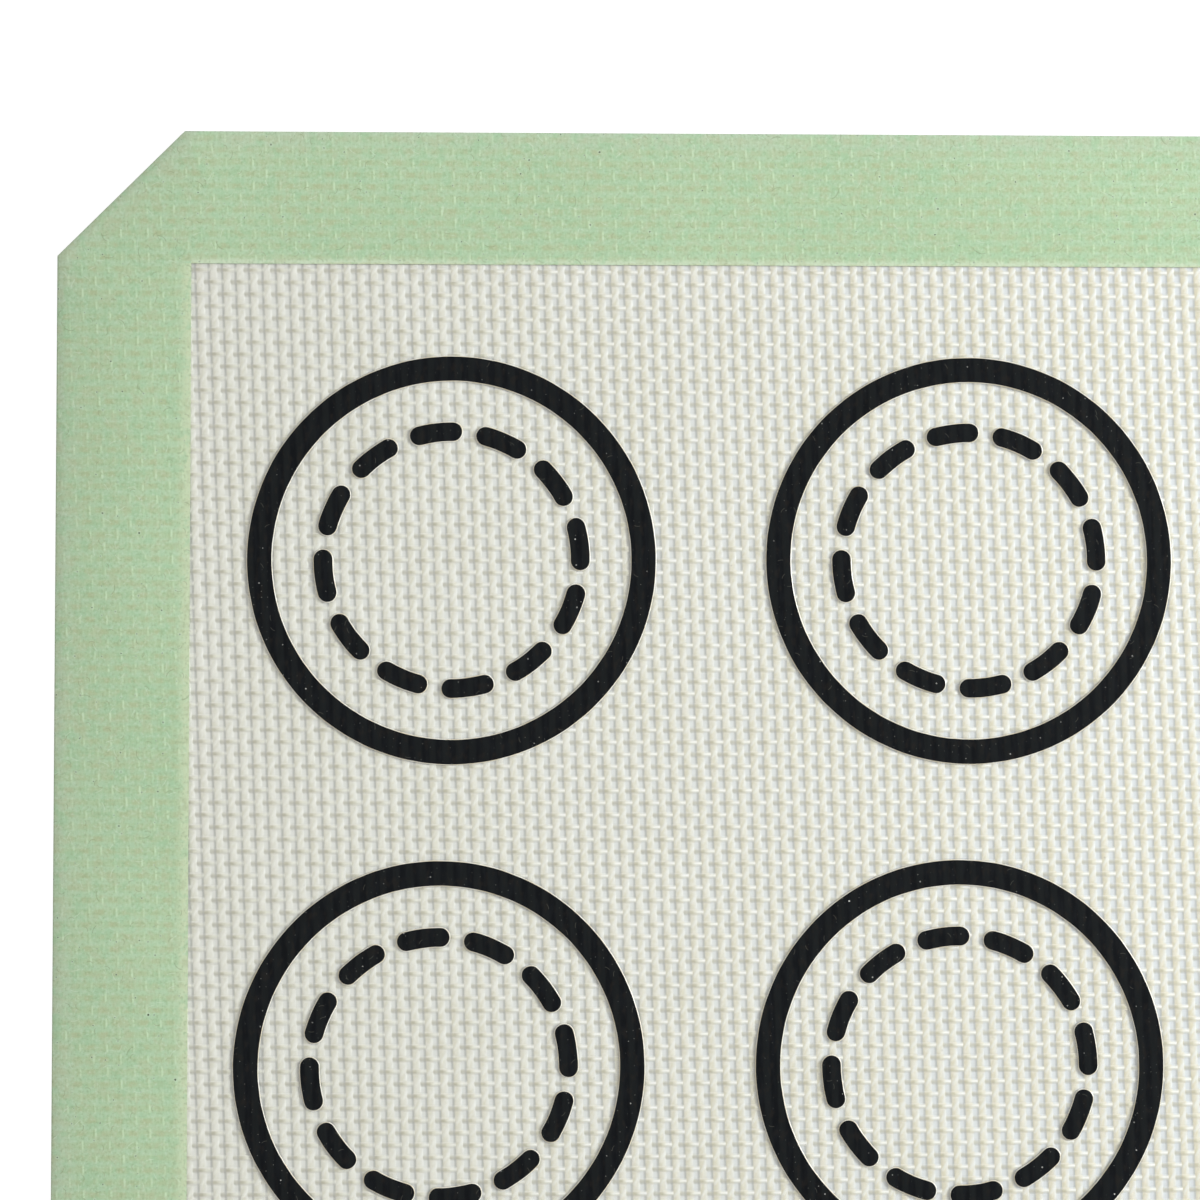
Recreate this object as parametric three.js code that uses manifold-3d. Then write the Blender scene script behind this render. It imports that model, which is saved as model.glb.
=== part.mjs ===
// Baking mat: a woven glass cloth between two silicone coats, bound round its edge by a coloured
// silicone band, with piping guides printed on its top. Each guide is a solid ring round a dashed one.
// Millimetres. The origin is the middle of the underside, +X runs along the mat's length and +Z is up.

import * as THREE from 'three';
import { mergeGeometries, mergeVertices } from 'three/addons/utils/BufferGeometryUtils.js';
import Module from 'manifold-3d';

// Outline of the mat
const MAT_LENGTH = 420;
const MAT_WIDTH = 295;
const CORNER_CUT = 15.8; // legs of each cut corner

// Thickness of the layers, from the underside up
const BOTTOM_COAT = 0.25;
const CLOTH = 0.25;
const TOP_COAT = 0.25;
const PRINT = 0.06;

// Band round the edge
const BAND_WIDTH = 16.7;
const EDGE_SEAL = 1.2; // solid silicone past the cloth's cut edge
const CLOTH_EDGE_GAP = 0.3; // cloth's cut edge to the bottom of the band's groove
const CUT_PAST = 1; // the window's cut runs this far past both faces of the band

// Layout of the guides
const GUIDE_COLUMNS = 6;
const GUIDE_ROWS = 4;
const COLUMN_INSET = 47.9; // mat's short edge to the middle of the outer columns
const ROW_INSET = 53; // mat's long edge to the middle of the outer rows
const PRINT_SHIFT_X = -0.8; // the print lies this far off the middle of the mat
const PRINT_SHIFT_Y = -0.8;
const ROW_LEAN = 1.47; // each row is printed this far to the left of the row above it

// Solid ring of a guide
const RING_DIAMETER = 51;
const RING_STROKE = 3.05;
const RING_SIDES = 28;

// Dashed ring of a guide
const DASH_COUNT = 12;
const DASH_CIRCLE = 32.1; // diameter of the line that the dashes lie on
const DASH_LENGTH = 6.6; // along that line, with both round ends
const DASH_STROKE = 2.35;
const DASH_TURN = THREE.MathUtils.degToRad(7.2); // first dash, from +X
const DASH_END_STEPS = 3; // sides of a dash's round end

// Heights of the faces where the layers meet
const CLOTH_BOTTOM = BOTTOM_COAT;
const CLOTH_TOP = CLOTH_BOTTOM + CLOTH;
const MAT_TOP = CLOTH_TOP + TOP_COAT;

// Finishes
const clothFinish = new THREE.MeshStandardMaterial({ color: 0xe4dcc6, roughness: 0.7, metalness: 0 });
const coatFinish = new THREE.MeshStandardMaterial({ color: 0xdedccf, roughness: 0.4, metalness: 0 });
const bandFinish = new THREE.MeshStandardMaterial({ color: 0xb0cfa8, roughness: 0.45, metalness: 0 });
const inkFinish = new THREE.MeshStandardMaterial({ color: 0x15171a, roughness: 0.5, metalness: 0 });

const wasm = await Module();
wasm.setup();

// Geometry to solid and back, for the joins and cuts

function solidOf(geometry) {
  const bare = geometry.clone();
  bare.deleteAttribute('normal');
  bare.deleteAttribute('uv');
  const merged = mergeVertices(bare);
  const vertProperties = new Float32Array(merged.attributes.position.array);
  const triVerts = new Uint32Array(merged.index.array);
  return new wasm.Manifold(new wasm.Mesh({ numProp: 3, vertProperties, triVerts }));
}

function geometryOf(solid) {
  const mesh = solid.getMesh();
  const geometry = new THREE.BufferGeometry();
  geometry.setAttribute('position', new THREE.BufferAttribute(mesh.vertProperties, mesh.numProp));
  geometry.setIndex(new THREE.BufferAttribute(mesh.triVerts, 1));
  geometry.computeVertexNormals();
  return geometry;
}

function slab(shape, bottom, top, curveSegments = 1) {
  const geometry = new THREE.ExtrudeGeometry(shape, { depth: top - bottom, bevelEnabled: false, curveSegments });
  return geometry.translate(0, 0, bottom);
}

// Outlines

// The mat's outline with its cut corners, moved inwards all round.
function matOutline(inset) {
  const x = MAT_LENGTH / 2 - inset;
  const y = MAT_WIDTH / 2 - inset;
  const cut = CORNER_CUT - inset * (2 - Math.SQRT2);
  const quarter = [[x, y - cut], [x - cut, y]];
  const half = [...quarter, ...quarter.map(([px, py]) => [-px, py]).reverse()];
  const whole = [...half, ...half.map(([px, py]) => [-px, -py])];
  return new THREE.Shape(whole.map(([px, py]) => new THREE.Vector2(px, py)));
}

// The square-cornered window inside the band.
function windowOutline() {
  const x = MAT_LENGTH / 2 - BAND_WIDTH;
  const y = MAT_WIDTH / 2 - BAND_WIDTH;
  return new THREE.Shape([
    new THREE.Vector2(-x, -y),
    new THREE.Vector2(x, -y),
    new THREE.Vector2(x, y),
    new THREE.Vector2(-x, y),
  ]);
}

function ringOutline() {
  const shape = new THREE.Shape();
  shape.absarc(0, 0, RING_DIAMETER / 2, 0, 2 * Math.PI);
  const hole = new THREE.Path();
  hole.absarc(0, 0, RING_DIAMETER / 2 - RING_STROKE, 0, 2 * Math.PI, true);
  shape.holes.push(hole);
  return shape;
}

// One dash, lying across the given direction from the guide's middle, with a round end each way.
function dashOutline(direction) {
  const circle = DASH_CIRCLE / 2;
  const endRadius = DASH_STROKE / 2;
  const reach = (DASH_LENGTH / 2 - endRadius) / circle;
  const points = [];
  for (const side of [1, -1]) {
    const angle = direction + side * reach;
    const start = side > 0 ? angle : angle + Math.PI;
    for (let step = 0; step <= DASH_END_STEPS; step++) {
      const turn = start + (Math.PI * step) / DASH_END_STEPS;
      const x = circle * Math.cos(angle) + endRadius * Math.cos(turn);
      const y = circle * Math.sin(angle) + endRadius * Math.sin(turn);
      points.push(new THREE.Vector2(x, y));
    }
  }
  return new THREE.Shape(points);
}

// Layout

// The middle of every guide, with its row counted from the top left corner.
function guidePlaces() {
  const columnPitch = (MAT_LENGTH - 2 * COLUMN_INSET) / (GUIDE_COLUMNS - 1);
  const rowPitch = (MAT_WIDTH - 2 * ROW_INSET) / (GUIDE_ROWS - 1);
  const places = [];
  for (let row = 0; row < GUIDE_ROWS; row++) {
    const rowsUp = (GUIDE_ROWS - 1) / 2 - row;
    for (let column = 0; column < GUIDE_COLUMNS; column++) {
      const x = (column - (GUIDE_COLUMNS - 1) / 2) * columnPitch + rowsUp * ROW_LEAN + PRINT_SHIFT_X;
      const y = rowsUp * rowPitch + PRINT_SHIFT_Y;
      places.push({ row: row + 1, column: column + 1, x, y });
    }
  }
  return places;
}

// Pieces

function piece(name, geometry, material) {
  const mesh = new THREE.Mesh(geometry, material);
  mesh.name = name;
  return mesh;
}

function bottomCoat() {
  return piece('bottom_coat', slab(windowOutline(), 0, CLOTH_BOTTOM), coatFinish);
}

function glassCloth() {
  const outline = matOutline(EDGE_SEAL + CLOTH_EDGE_GAP);
  return piece('glass_cloth', slab(outline, CLOTH_BOTTOM, CLOTH_TOP), clothFinish);
}

// The clear coat, with every dash of the print raised on it. A dash is rooted halfway down the coat.
function topCoat() {
  const root = MAT_TOP - TOP_COAT / 2;
  const dashes = [];
  for (const { x, y } of guidePlaces()) {
    for (let dash = 0; dash < DASH_COUNT; dash++) {
      const direction = DASH_TURN + (2 * Math.PI * dash) / DASH_COUNT;
      dashes.push(slab(dashOutline(direction), root, MAT_TOP + PRINT).translate(x, y, 0));
    }
  }
  const coat = solidOf(slab(windowOutline(), CLOTH_TOP, MAT_TOP));
  return piece('top_coat', geometryOf(coat.add(solidOf(mergeGeometries(dashes)))), coatFinish);
}

// The band: two flanges joined by the seal outside a groove, which holds the cloth's edge.
function edgeBand() {
  const block = solidOf(slab(matOutline(0), 0, MAT_TOP));
  const opening = solidOf(slab(windowOutline(), -CUT_PAST, MAT_TOP + CUT_PAST));
  const groove = solidOf(slab(matOutline(EDGE_SEAL), CLOTH_BOTTOM, CLOTH_TOP));
  return piece('edge_band', geometryOf(block.subtract(opening).subtract(groove)), bandFinish);
}

function guideRing({ row, column, x, y }) {
  // A full circle gets two sides for each curve segment.
  const ring = slab(ringOutline(), 0, PRINT, RING_SIDES / 2);
  const mesh = piece(`guide_ring_${row}_${column}`, ring, inkFinish);
  mesh.position.set(x, y, MAT_TOP);
  return mesh;
}

const mat = new THREE.Group();
mat.add(bottomCoat(), glassCloth(), topCoat(), edgeBand());
mat.add(...guidePlaces().map(guideRing));

export default mat;
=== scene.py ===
"""Baking mat: woven cloth, silicone coats, edge band and printed guides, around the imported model.

Metres, in the model's own frame: the origin is the middle of the underside, +X runs along the mat's
length and +Z is up. The cloth is made yarn by yarn, so its weave is geometry.
"""

import math

import bmesh
import bpy
import numpy as np
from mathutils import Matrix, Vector


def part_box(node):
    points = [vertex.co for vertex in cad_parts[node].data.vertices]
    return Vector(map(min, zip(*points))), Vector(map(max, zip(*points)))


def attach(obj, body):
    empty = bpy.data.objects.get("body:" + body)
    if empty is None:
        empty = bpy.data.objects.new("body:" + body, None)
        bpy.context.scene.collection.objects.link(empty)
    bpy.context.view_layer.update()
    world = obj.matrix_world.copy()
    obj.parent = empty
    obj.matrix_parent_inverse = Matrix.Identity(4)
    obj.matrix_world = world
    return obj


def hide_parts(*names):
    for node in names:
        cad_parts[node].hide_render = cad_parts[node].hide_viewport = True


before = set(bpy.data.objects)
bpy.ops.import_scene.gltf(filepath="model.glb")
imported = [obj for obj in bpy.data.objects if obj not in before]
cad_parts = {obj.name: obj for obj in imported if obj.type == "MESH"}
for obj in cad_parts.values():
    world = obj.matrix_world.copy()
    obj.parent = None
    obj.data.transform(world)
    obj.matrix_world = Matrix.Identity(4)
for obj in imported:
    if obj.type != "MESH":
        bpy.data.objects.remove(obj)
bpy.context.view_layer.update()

MM = 0.001

# Edges that turn further than this are sharp
SHARP_TURN = math.radians(50)
PRINT_TURN = math.radians(15)
YARN_TURN = math.radians(25)

# Camera, fitted to the outline and the print in the photograph
CAMERA_PLACE = Vector((-152.09, 75.13, 354.5)) * MM
CAMERA_TURN = (math.radians(2.1967), math.radians(-1.6026), math.radians(-0.0232))
CAMERA_LENS = 85.0  # mm, on a sensor 36 mm wide

# Cloth: the wide warp runs across the mat's width and leans, the thin weft runs along its length
WARP_PITCH = 1.674 * MM
WARP_LEAN = math.tan(math.radians(2.05))
WARP_WIDTH = 1.00 * MM
WARP_THICKNESS = 0.12 * MM
WARP_RISE = 0.02 * MM
WEFT_PITCH = 1.512 * MM
WEFT_WIDTH = 0.76 * MM
WEFT_THICKNESS = 0.08 * MM
WEFT_RISE = 0.11 * MM  # over a warp yarn
WEFT_LOW = 0.03 * MM  # under a warp yarn
WEFT_GRIP = 0.46 * MM  # the weft bends this far from the middle of each warp yarn
YARN_BOW = 0.15 * MM  # slow drift of the yarns off their lines
YARN_BOW_LENGTH = 230 * MM
WARP_BOW_PHASE = 0.6
WEFT_BOW_PHASE = 2.1
YARN_WOBBLE = 0.012 * MM
YARN_WIDTH_SPREAD = 0.025  # share of the width
YARN_SEED = 11
WARP_GROUPS = 4  # pieces that the warp is joined into
WEFT_GROUPS = 6

WARP_CROWN = 0.03 * MM  # fall of the silicone from the top of a warp yarn into the gap beside it
WARP_CREST = 0.02 * MM  # ridge of the twisted fibres where a warp yarn rises over the weft
WEFT_CLIMB = 0.32 * MM  # rise that the weft seems to make onto a warp yarn
WEFT_FALL = 0.16 * MM  # fall of its middle past that yarn
WEFT_ROUND = 0.04 * MM  # rise that it seems to make from its flanks to its middle
CLOTH_LIFT = 0.1 * MM  # the cloth lies nearer to the top of the mat than to its underside
YARN_TWIST = math.radians(18)

# Painted light across the weave: its painted seam shade is deepest by the mat's short edges, and its
# painted glints and tones grow further in
LIGHT_SPREAD_START = 4 * MM  # from the band's inner edge
LIGHT_SPREAD_END = 118 * MM

# Shares of the painted light's spread at which the painted glints, and the lift of the painted seam
# shade at the crossings, start and are whole
GLINT_START = 0.05
GLINT_WHOLE = 0.45

# Screen colours of the weave, by the mat's short edges and further in; the change within each pair is
# painted light, with cooler gaps and warmer, brighter yarns further in
MILKY = ((243, 244, 237), (239, 245, 249))  # silicone between the yarns
CREAM = ((249, 248, 238), (252, 247, 228))  # yarns
WARP_PALE = ((250, 250, 239), (254, 249, 228))
WARP_DEEP = ((240, 239, 221), (244, 237, 205))
# WEFT_PALE and WEFT_DEEP colour the weft where it climbs a warp yarn, darker than where it falls past:
# painted shade
WEFT_PALE = ((230, 228, 204), (250, 246, 215))
WEFT_DEEP = ((212, 209, 183), (236, 230, 195))

# Screen colours of the weave, the same all across the mat
CREST_HIGHLIGHT = (255, 255, 244)  # painted highlight on the twisted fibres where a warp yarn rises over the weft
WEFT_DULL = ((240, 240, 227), (230, 230, 214))  # weft that falls past a warp yarn, pale and deep, lighter than where it climbs: painted light
WEFT_BRIGHT = ((255, 255, 252), (255, 255, 246))  # its glint
DIRT = (128, 126, 118)
SEAM_SHADE_TONE = (170, 172, 167)  # painted shade along the seam beside each warp yarn

# Painted shade along the seam beside each warp yarn, placed in pitches from the middle of the yarn
SEAM_PLACE = -0.35
SEAM_END = 0.15
SEAM_FULL = 0.02
SEAM_SHADE_AT_EDGES = 0.57  # strength of the painted shade by the mat's short edges
SEAM_SHADE_INNER = 0.34

# Marks beside the crossings end and are full at these shares of their size
MARK_END = 1.3
MARK_FULL = 0.5

# Sections of the yarns: across and up, as shares of half their width and thickness
WARP_SECTION = [(-1.0, -0.8), (-0.9, 0.5), (-0.75, 0.95), (0.75, 0.95), (0.9, 0.5), (1.0, -0.8)]
WEFT_SECTION = [(-1.0, -0.5), (-0.7, 0.5), (0.0, 0.9), (0.7, 0.5), (1.0, -0.5)]

# Heights that the cloth leaves to the coats
UNDER_COAT_TOP = 0.50 * MM
OVER_COAT_BOTTOM = 0.66 * MM

COAT_HAZE = 0.12  # share of the light that the clear coat scatters

# Edge band
BAND_ROUND = 0.2 * MM
BAND_STEP = 2.5 * MM
BAND_GROOVE = (0.26 * MM, 0.66 * MM)
BAND_SEAL = 1.2 * MM
BAND_TAPER = 0.62 * MM  # apparent fall of the top towards the outline
BAND_TAPER_REACH = 12 * MM

# Print
RING_STROKE = 3.05 * MM
RING_STEPS = 240
PRINT_SLOPE = 0.06 * MM  # width of the sloping edge of a stroke
PRINT_RIM = 0.09 * MM  # width of the pale rim round a stroke
PRINT_WAVER = 0.008 * MM  # unevenness of the printed edges
PRINT_SEED = 5
DASH_COUNT = 12
DASH_CIRCLE = 32.1 * MM
DASH_LENGTH = 6.6 * MM
DASH_STROKE = 2.35 * MM
DASH_TURN = math.radians(7.2)
DASH_END_STEPS = 12
DASH_SIDE_STEPS = 6

# Studio
KEY_PLACE = Vector((0.75, 0.255, 0.454))
KEY_TARGET = Vector((-0.12, 0.07, 0.0))
KEY_SIZE = 0.28
KEY_SPREAD = math.radians(50)
KEY_POWER = 0.95
KEY_COLOUR = (0.96, 0.98, 1.0)
FILL_LEVEL = 0.06
FILL_COLOUR = (1.0, 0.94, 0.84)
FILL_HEIGHT = math.radians(35)
FILL_FROM = math.radians(185)
FILL_SOFTNESS = math.radians(40)
WORLD_LEVEL = 0.40
FLOOR_REACH = 5.0
FLOOR_DROP = 0.02 * MM  # below the mat's underside
FLOOR_GREYS = ((0.22, 0.22, 0.22, 1), (0.24, 0.24, 0.24, 1))
FLOOR_GLOW = 0.92  # in the picture alone


def corner_cut(node):
    """Leg of a node's cut corners, read from its top corners."""
    points = np.array([vertex.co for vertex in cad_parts[node].data.vertices])
    highest = points[:, 1].max()
    top_edge = points[points[:, 1] > highest - 0.01 * MM]
    return points[:, 0].max() - top_edge[:, 0].max()


# Extents taken from the frame
MAT_LOW, MAT_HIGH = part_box("edge_band")
WINDOW_LOW, WINDOW_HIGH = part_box("bottom_coat")
CLOTH_LOW, CLOTH_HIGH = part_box("glass_cloth")
CLOTH_MIDDLE = (CLOTH_LOW.z + CLOTH_HIGH.z) / 2 + CLOTH_LIFT
MAT_TOP = MAT_HIGH.z
BAND_WIDTH = WINDOW_LOW.x - MAT_LOW.x
MAT_CUT = corner_cut("edge_band")
CLOTH_CUT = corner_cut("glass_cloth")


def srgb(red, green, blue):
    """A colour written in 0 to 255 screen values, as the linear one that shaders take."""
    def linear(value):
        share = value / 255
        return share / 12.92 if share <= 0.04045 else ((share + 0.055) / 1.055) ** 2.4

    return (linear(red), linear(green), linear(blue), 1.0)


# Materials


class Paint:
    """One material's nodes. Each call adds a node and returns the socket to link on."""

    def __init__(self, name):
        self.material = bpy.data.materials.new(name)
        self.material.use_nodes = True
        self.tree = self.material.node_tree
        self.tree.nodes.clear()
        self.output = self.add("ShaderNodeOutputMaterial")
        self.place = self.add("ShaderNodeTexCoord").outputs["Object"]
        split = self.add("ShaderNodeSeparateXYZ")
        self.put(split.inputs[0], self.place)
        self.x = split.outputs["X"]
        self.y = split.outputs["Y"]

    def add(self, kind, **settings):
        node = self.tree.nodes.new(kind)
        for name, value in settings.items():
            setattr(node, name, value)
        return node

    def put(self, socket, value):
        if isinstance(value, bpy.types.NodeSocket):
            self.tree.links.new(value, socket)
        else:
            socket.default_value = value

    def math(self, operation, *values):
        node = self.add("ShaderNodeMath", operation=operation)
        for socket, value in zip(node.inputs, values):
            self.put(socket, value)
        return node.outputs[0]

    def ramp(self, value, low, high, kind="SMOOTHSTEP"):
        """0 at low to 1 at high, eased at both ends unless it is linear."""
        node = self.add("ShaderNodeMapRange", interpolation_type=kind)
        self.put(node.inputs["Value"], value)
        turned = low > high
        node.inputs["From Min"].default_value = min(low, high)
        node.inputs["From Max"].default_value = max(low, high)
        node.inputs["To Min"].default_value = 1.0 if turned else 0.0
        node.inputs["To Max"].default_value = 0.0 if turned else 1.0
        return node.outputs["Result"]

    def mix(self, factor, first, second):
        node = self.add("ShaderNodeMix", data_type="RGBA")
        self.put(node.inputs["Factor"], factor)
        colours = [socket for socket in node.inputs if socket.type == "RGBA"]
        self.put(colours[0], first)
        self.put(colours[1], second)
        return [socket for socket in node.outputs if socket.type == "RGBA"][0]

    def times(self, first, second):
        return self.math("MULTIPLY", first, second)

    def tint(self, colour, tone, mask, strength):
        """The colour, moved towards a screen colour where the mask is 1."""
        return self.mix(self.times(mask, strength), colour, srgb(*tone))

    def vector(self, operation, *values):
        node = self.add("ShaderNodeVectorMath", operation=operation)
        for socket, value in zip(node.inputs, values):
            self.put(socket, value)
        return node.outputs["Value" if operation in ("LENGTH", "DISTANCE") else "Vector"]

    def joined(self, x, y):
        node = self.add("ShaderNodeCombineXYZ")
        self.put(node.inputs[0], x)
        self.put(node.inputs[1], y)
        return node.outputs[0]

    def noise(self, scale, vector=None, detail=2.0, roughness=0.5):
        node = self.add("ShaderNodeTexNoise")
        self.put(node.inputs["Vector"], vector or self.place)
        self.put(node.inputs["Scale"], scale)
        self.put(node.inputs["Detail"], detail)
        self.put(node.inputs["Roughness"], roughness)
        return node.outputs["Fac"]

    def streaks(self, stretch, vector=None, detail=2.0):
        """Noise drawn out into streaks, with this many per metre each way."""
        return self.noise(1.0, self.vector("MULTIPLY", vector or self.place, stretch), detail)

    def bump(self, height, strength, distance, normal=None):
        node = self.add("ShaderNodeBump")
        if normal is not None:
            self.put(node.inputs["Normal"], normal)
        self.put(node.inputs["Height"], height)
        self.put(node.inputs["Strength"], strength)
        self.put(node.inputs["Distance"], distance)
        return node.outputs["Normal"]

    def principled(self, colour, roughness, normal=None, **constants):
        node = self.add("ShaderNodeBsdfPrincipled")
        self.put(node.inputs["Base Color"], colour)
        self.put(node.inputs["Roughness"], roughness)
        if normal is not None:
            self.put(node.inputs["Normal"], normal)
        for name, value in constants.items():
            self.put(node.inputs[name.replace("_", " ")], value)
        return node.outputs["BSDF"]

    def finish(self, shader):
        self.put(self.output.inputs["Surface"], shader)
        return self.material


def bow_nodes(paint, place, phase):
    """The drift that bow() gives the yarns, in nodes."""
    turn = paint.math("MULTIPLY_ADD", place, 2 * math.pi / YARN_BOW_LENGTH, phase)
    return paint.times(paint.math("SINE", turn), YARN_BOW)


class Weave:
    """Where a point lies in the weave below it, in shares of a pitch from the nearest crossing."""

    def __init__(self, paint):
        warp = paint.math("MULTIPLY_ADD", paint.y, WARP_LEAN, paint.x)
        warp = paint.math("SUBTRACT", warp, bow_nodes(paint, paint.y, WARP_BOW_PHASE))
        weft = paint.math("SUBTRACT", paint.y, bow_nodes(paint, paint.x, WEFT_BOW_PHASE))
        warp = paint.math("DIVIDE", warp, WARP_PITCH)
        weft = paint.math("DIVIDE", weft, WEFT_PITCH)
        warp_number = paint.math("ROUND", warp)
        weft_number = paint.math("ROUND", weft)
        self.across = paint.math("SUBTRACT", warp, warp_number)
        self.along = paint.math("SUBTRACT", weft, weft_number)
        self.warp_over = paint.math("FLOORED_MODULO", paint.math("ADD", warp_number, weft_number), 2.0)
        self.weft_over = paint.math("SUBTRACT", 1.0, self.warp_over)
        # Spread of the painted light: 0 by the mat's short edges, 1 further in
        from_middle = paint.math("ABSOLUTE", paint.x)
        spread_start = WINDOW_HIGH.x - LIGHT_SPREAD_START
        spread_end = WINDOW_HIGH.x - LIGHT_SPREAD_END
        self.painted_light_spread = paint.ramp(from_middle, spread_start, spread_end, "LINEAR")
        # share of the painted glints, and of the lift of the painted seam shade at the crossings
        self.glint_share = paint.ramp(self.painted_light_spread, GLINT_START, GLINT_WHOLE)
        self.paint = paint

    def toned(self, thin, full):
        """A colour that goes from one to the other as the painted light spreads in from the mat's short
        edges.
        """
        return self.paint.mix(self.painted_light_spread, srgb(*thin), srgb(*full))

    def crown(self):
        """Normal of the silicone's slope from the top of each warp yarn into the gaps beside it."""
        left = self.paint.ramp(self.across, -0.37, -0.27)
        right = self.paint.ramp(self.across, 0.44, 0.20)
        return self.paint.bump(self.paint.times(left, right), 1.0, WARP_CROWN)

    def seam_shaded(self, colour):
        """The colour, with painted shade along the seam to the left of each warp yarn, deepest by the
        mat's short edges.
        """
        paint = self.paint
        beside = paint.math("WRAP", paint.math("SUBTRACT", self.across, SEAM_PLACE), 0.5, -0.5)
        seam_shade = paint.ramp(paint.math("ABSOLUTE", beside), SEAM_END, SEAM_FULL)
        change = SEAM_SHADE_INNER - SEAM_SHADE_AT_EDGES
        depth = paint.math("MULTIPLY_ADD", self.painted_light_spread, change, SEAM_SHADE_AT_EDGES)
        return paint.tint(colour, SEAM_SHADE_TONE, seam_shade, depth)

    def along_float(self):
        """Place along a weft yarn, in pitches from the middle of the warp yarn it passes over."""
        back = self.paint.times(self.warp_over, self.paint.math("SIGN", self.across))
        return self.paint.math("SUBTRACT", self.across, back)

    def on_warp(self, end=1.2, full=0.8):
        """1 over a warp yarn, fading past its edges, between shares of its half width."""
        half = WARP_WIDTH / WARP_PITCH / 2
        return self.paint.ramp(self.paint.math("ABSOLUTE", self.across), end * half, full * half)

    def mark(self, kind, middle, half_across, half_along, lean=0.0):
        """1 on an oblong beside each crossing of a kind, which fades at its edges and may lean."""
        paint = self.paint
        middle = paint.math("MULTIPLY_ADD", self.along, lean, middle)
        across = paint.math("ABSOLUTE", paint.math("SUBTRACT", self.across, middle))
        along = paint.math("ABSOLUTE", self.along)
        inside_across = paint.ramp(across, MARK_END * half_across, MARK_FULL * half_across)
        inside_along = paint.ramp(along, MARK_END * half_along, MARK_FULL * half_along)
        return paint.times(paint.times(inside_across, inside_along), kind)


def yarn_streaks(paint, stretch):
    """Fine streaks of the glass fibres, which run round the yarn at its twist."""
    turned = paint.add("ShaderNodeVectorRotate", rotation_type="Z_AXIS")
    paint.put(turned.inputs["Vector"], paint.place)
    paint.put(turned.inputs["Angle"], YARN_TWIST)
    return paint.streaks(stretch, turned.outputs[0])


def yarn_tone(paint, streaks, pale, deep):
    """A colour between deep and pale, by the streaks and by patches and clouds of other sizes."""
    patches = paint.noise(1500.0, detail=3.0)
    clouds = paint.noise(90.0, detail=3.0)
    tone = paint.math("ADD", paint.times(streaks, 0.6), paint.times(patches, 0.5))
    tone = paint.math("MULTIPLY_ADD", clouds, 0.4, tone)
    return paint.mix(paint.ramp(tone, 0.63, 0.87), deep, pale)


def yarn_surface(paint, colour, streaks, normal):
    """A yarn's finish, with specks of dirt in loose clusters."""
    clusters = paint.ramp(paint.noise(110.0), 0.45, 0.65)
    for density, radius, chance in ((300, 0.06 * MM, 0.4), (900, 0.04 * MM, 0.2)):
        dirt = paint.times(specks(paint, density, radius, chance)[0], clusters)
        colour = paint.tint(colour, DIRT, dirt, 0.75)
    roughness = paint.math("ADD", 0.36, paint.times(streaks, 0.2))
    return paint.finish(paint.principled(colour, roughness, normal, Specular_IOR_Level=0.8))


def warp_material():
    """Glass fibre that lightens towards its right flank, partly milky silicone over its edge and partly
    painted light on the side that faces the lamp, with a painted highlight where it rises over the weft.
    """
    paint = Paint("warp_glass")
    weave = Weave(paint)
    streaks = yarn_streaks(paint, (3200, 800, 1))
    colour = yarn_tone(paint, streaks, weave.toned(*WARP_PALE), weave.toned(*WARP_DEEP))
    # painted highlight where the warp yarn rises over the weft; the same mask also raises a real ridge
    # in the bump
    crest = weave.mark(weave.warp_over, -0.02, 0.13, 0.36, lean=0.55)
    colour = paint.tint(colour, CREST_HIGHLIGHT, crest, 0.8)
    # lighter towards the right flank: milky silicone over the yarn's edge, and painted light on the side
    # that faces the lamp
    flank = paint.ramp(weave.across, -0.05, 0.32)
    colour = paint.mix(paint.times(flank, 0.8), colour, weave.toned(*MILKY))
    ridge = paint.bump(crest, 1.0, WARP_CREST, weave.crown())
    normal = paint.bump(streaks, 0.5, 0.03 * MM, ridge)
    # painted seam shade, lifted where the warp yarn rises over the weft as the painted glints grow
    # further in
    crossing_lift = weave.mark(weave.warp_over, SEAM_PLACE, 0.2, 0.2)
    crossing_lift = paint.times(paint.times(crossing_lift, weave.glint_share), 0.7)
    colour = paint.mix(crossing_lift, weave.seam_shaded(colour), colour)
    return yarn_surface(paint, colour, streaks, normal)


def weft_colour(paint, weave, streaks, body, glint):
    """Painted shade where the yarn climbs a warp yarn, painted light and glint where it falls past,
    faint at its sides.
    """
    place = weave.along_float()
    on_warp = weave.on_warp()
    milky = weave.toned(*MILKY)
    climbing = yarn_tone(paint, streaks, weave.toned(*WEFT_PALE), weave.toned(*WEFT_DEEP))
    climbing = paint.mix(paint.math("MULTIPLY_ADD", on_warp, -0.5, 0.5), climbing, milky)
    dull = yarn_tone(paint, streaks, *[srgb(*tone) for tone in WEFT_DULL])
    bright = yarn_tone(paint, streaks, *[srgb(*tone) for tone in WEFT_BRIGHT])
    falling = paint.mix(paint.times(weave.glint_share, glint), dull, bright)
    core = paint.mix(paint.ramp(place, -0.15, 0.5), climbing, falling)
    beside = paint.mix(on_warp, milky, weave.toned(*CREAM))
    colour = paint.mix(body, beside, core)
    # painted seam shade over the weft, lifted towards its painted glint as the painted light spreads in
    seam_lift = paint.times(weave.glint_share, paint.ramp(place, 0.15, 0.45))
    seam_lift = paint.times(body, paint.math("MULTIPLY_ADD", seam_lift, 0.65, 0.35))
    return paint.mix(seam_lift, weave.seam_shaded(colour), colour)


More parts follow.
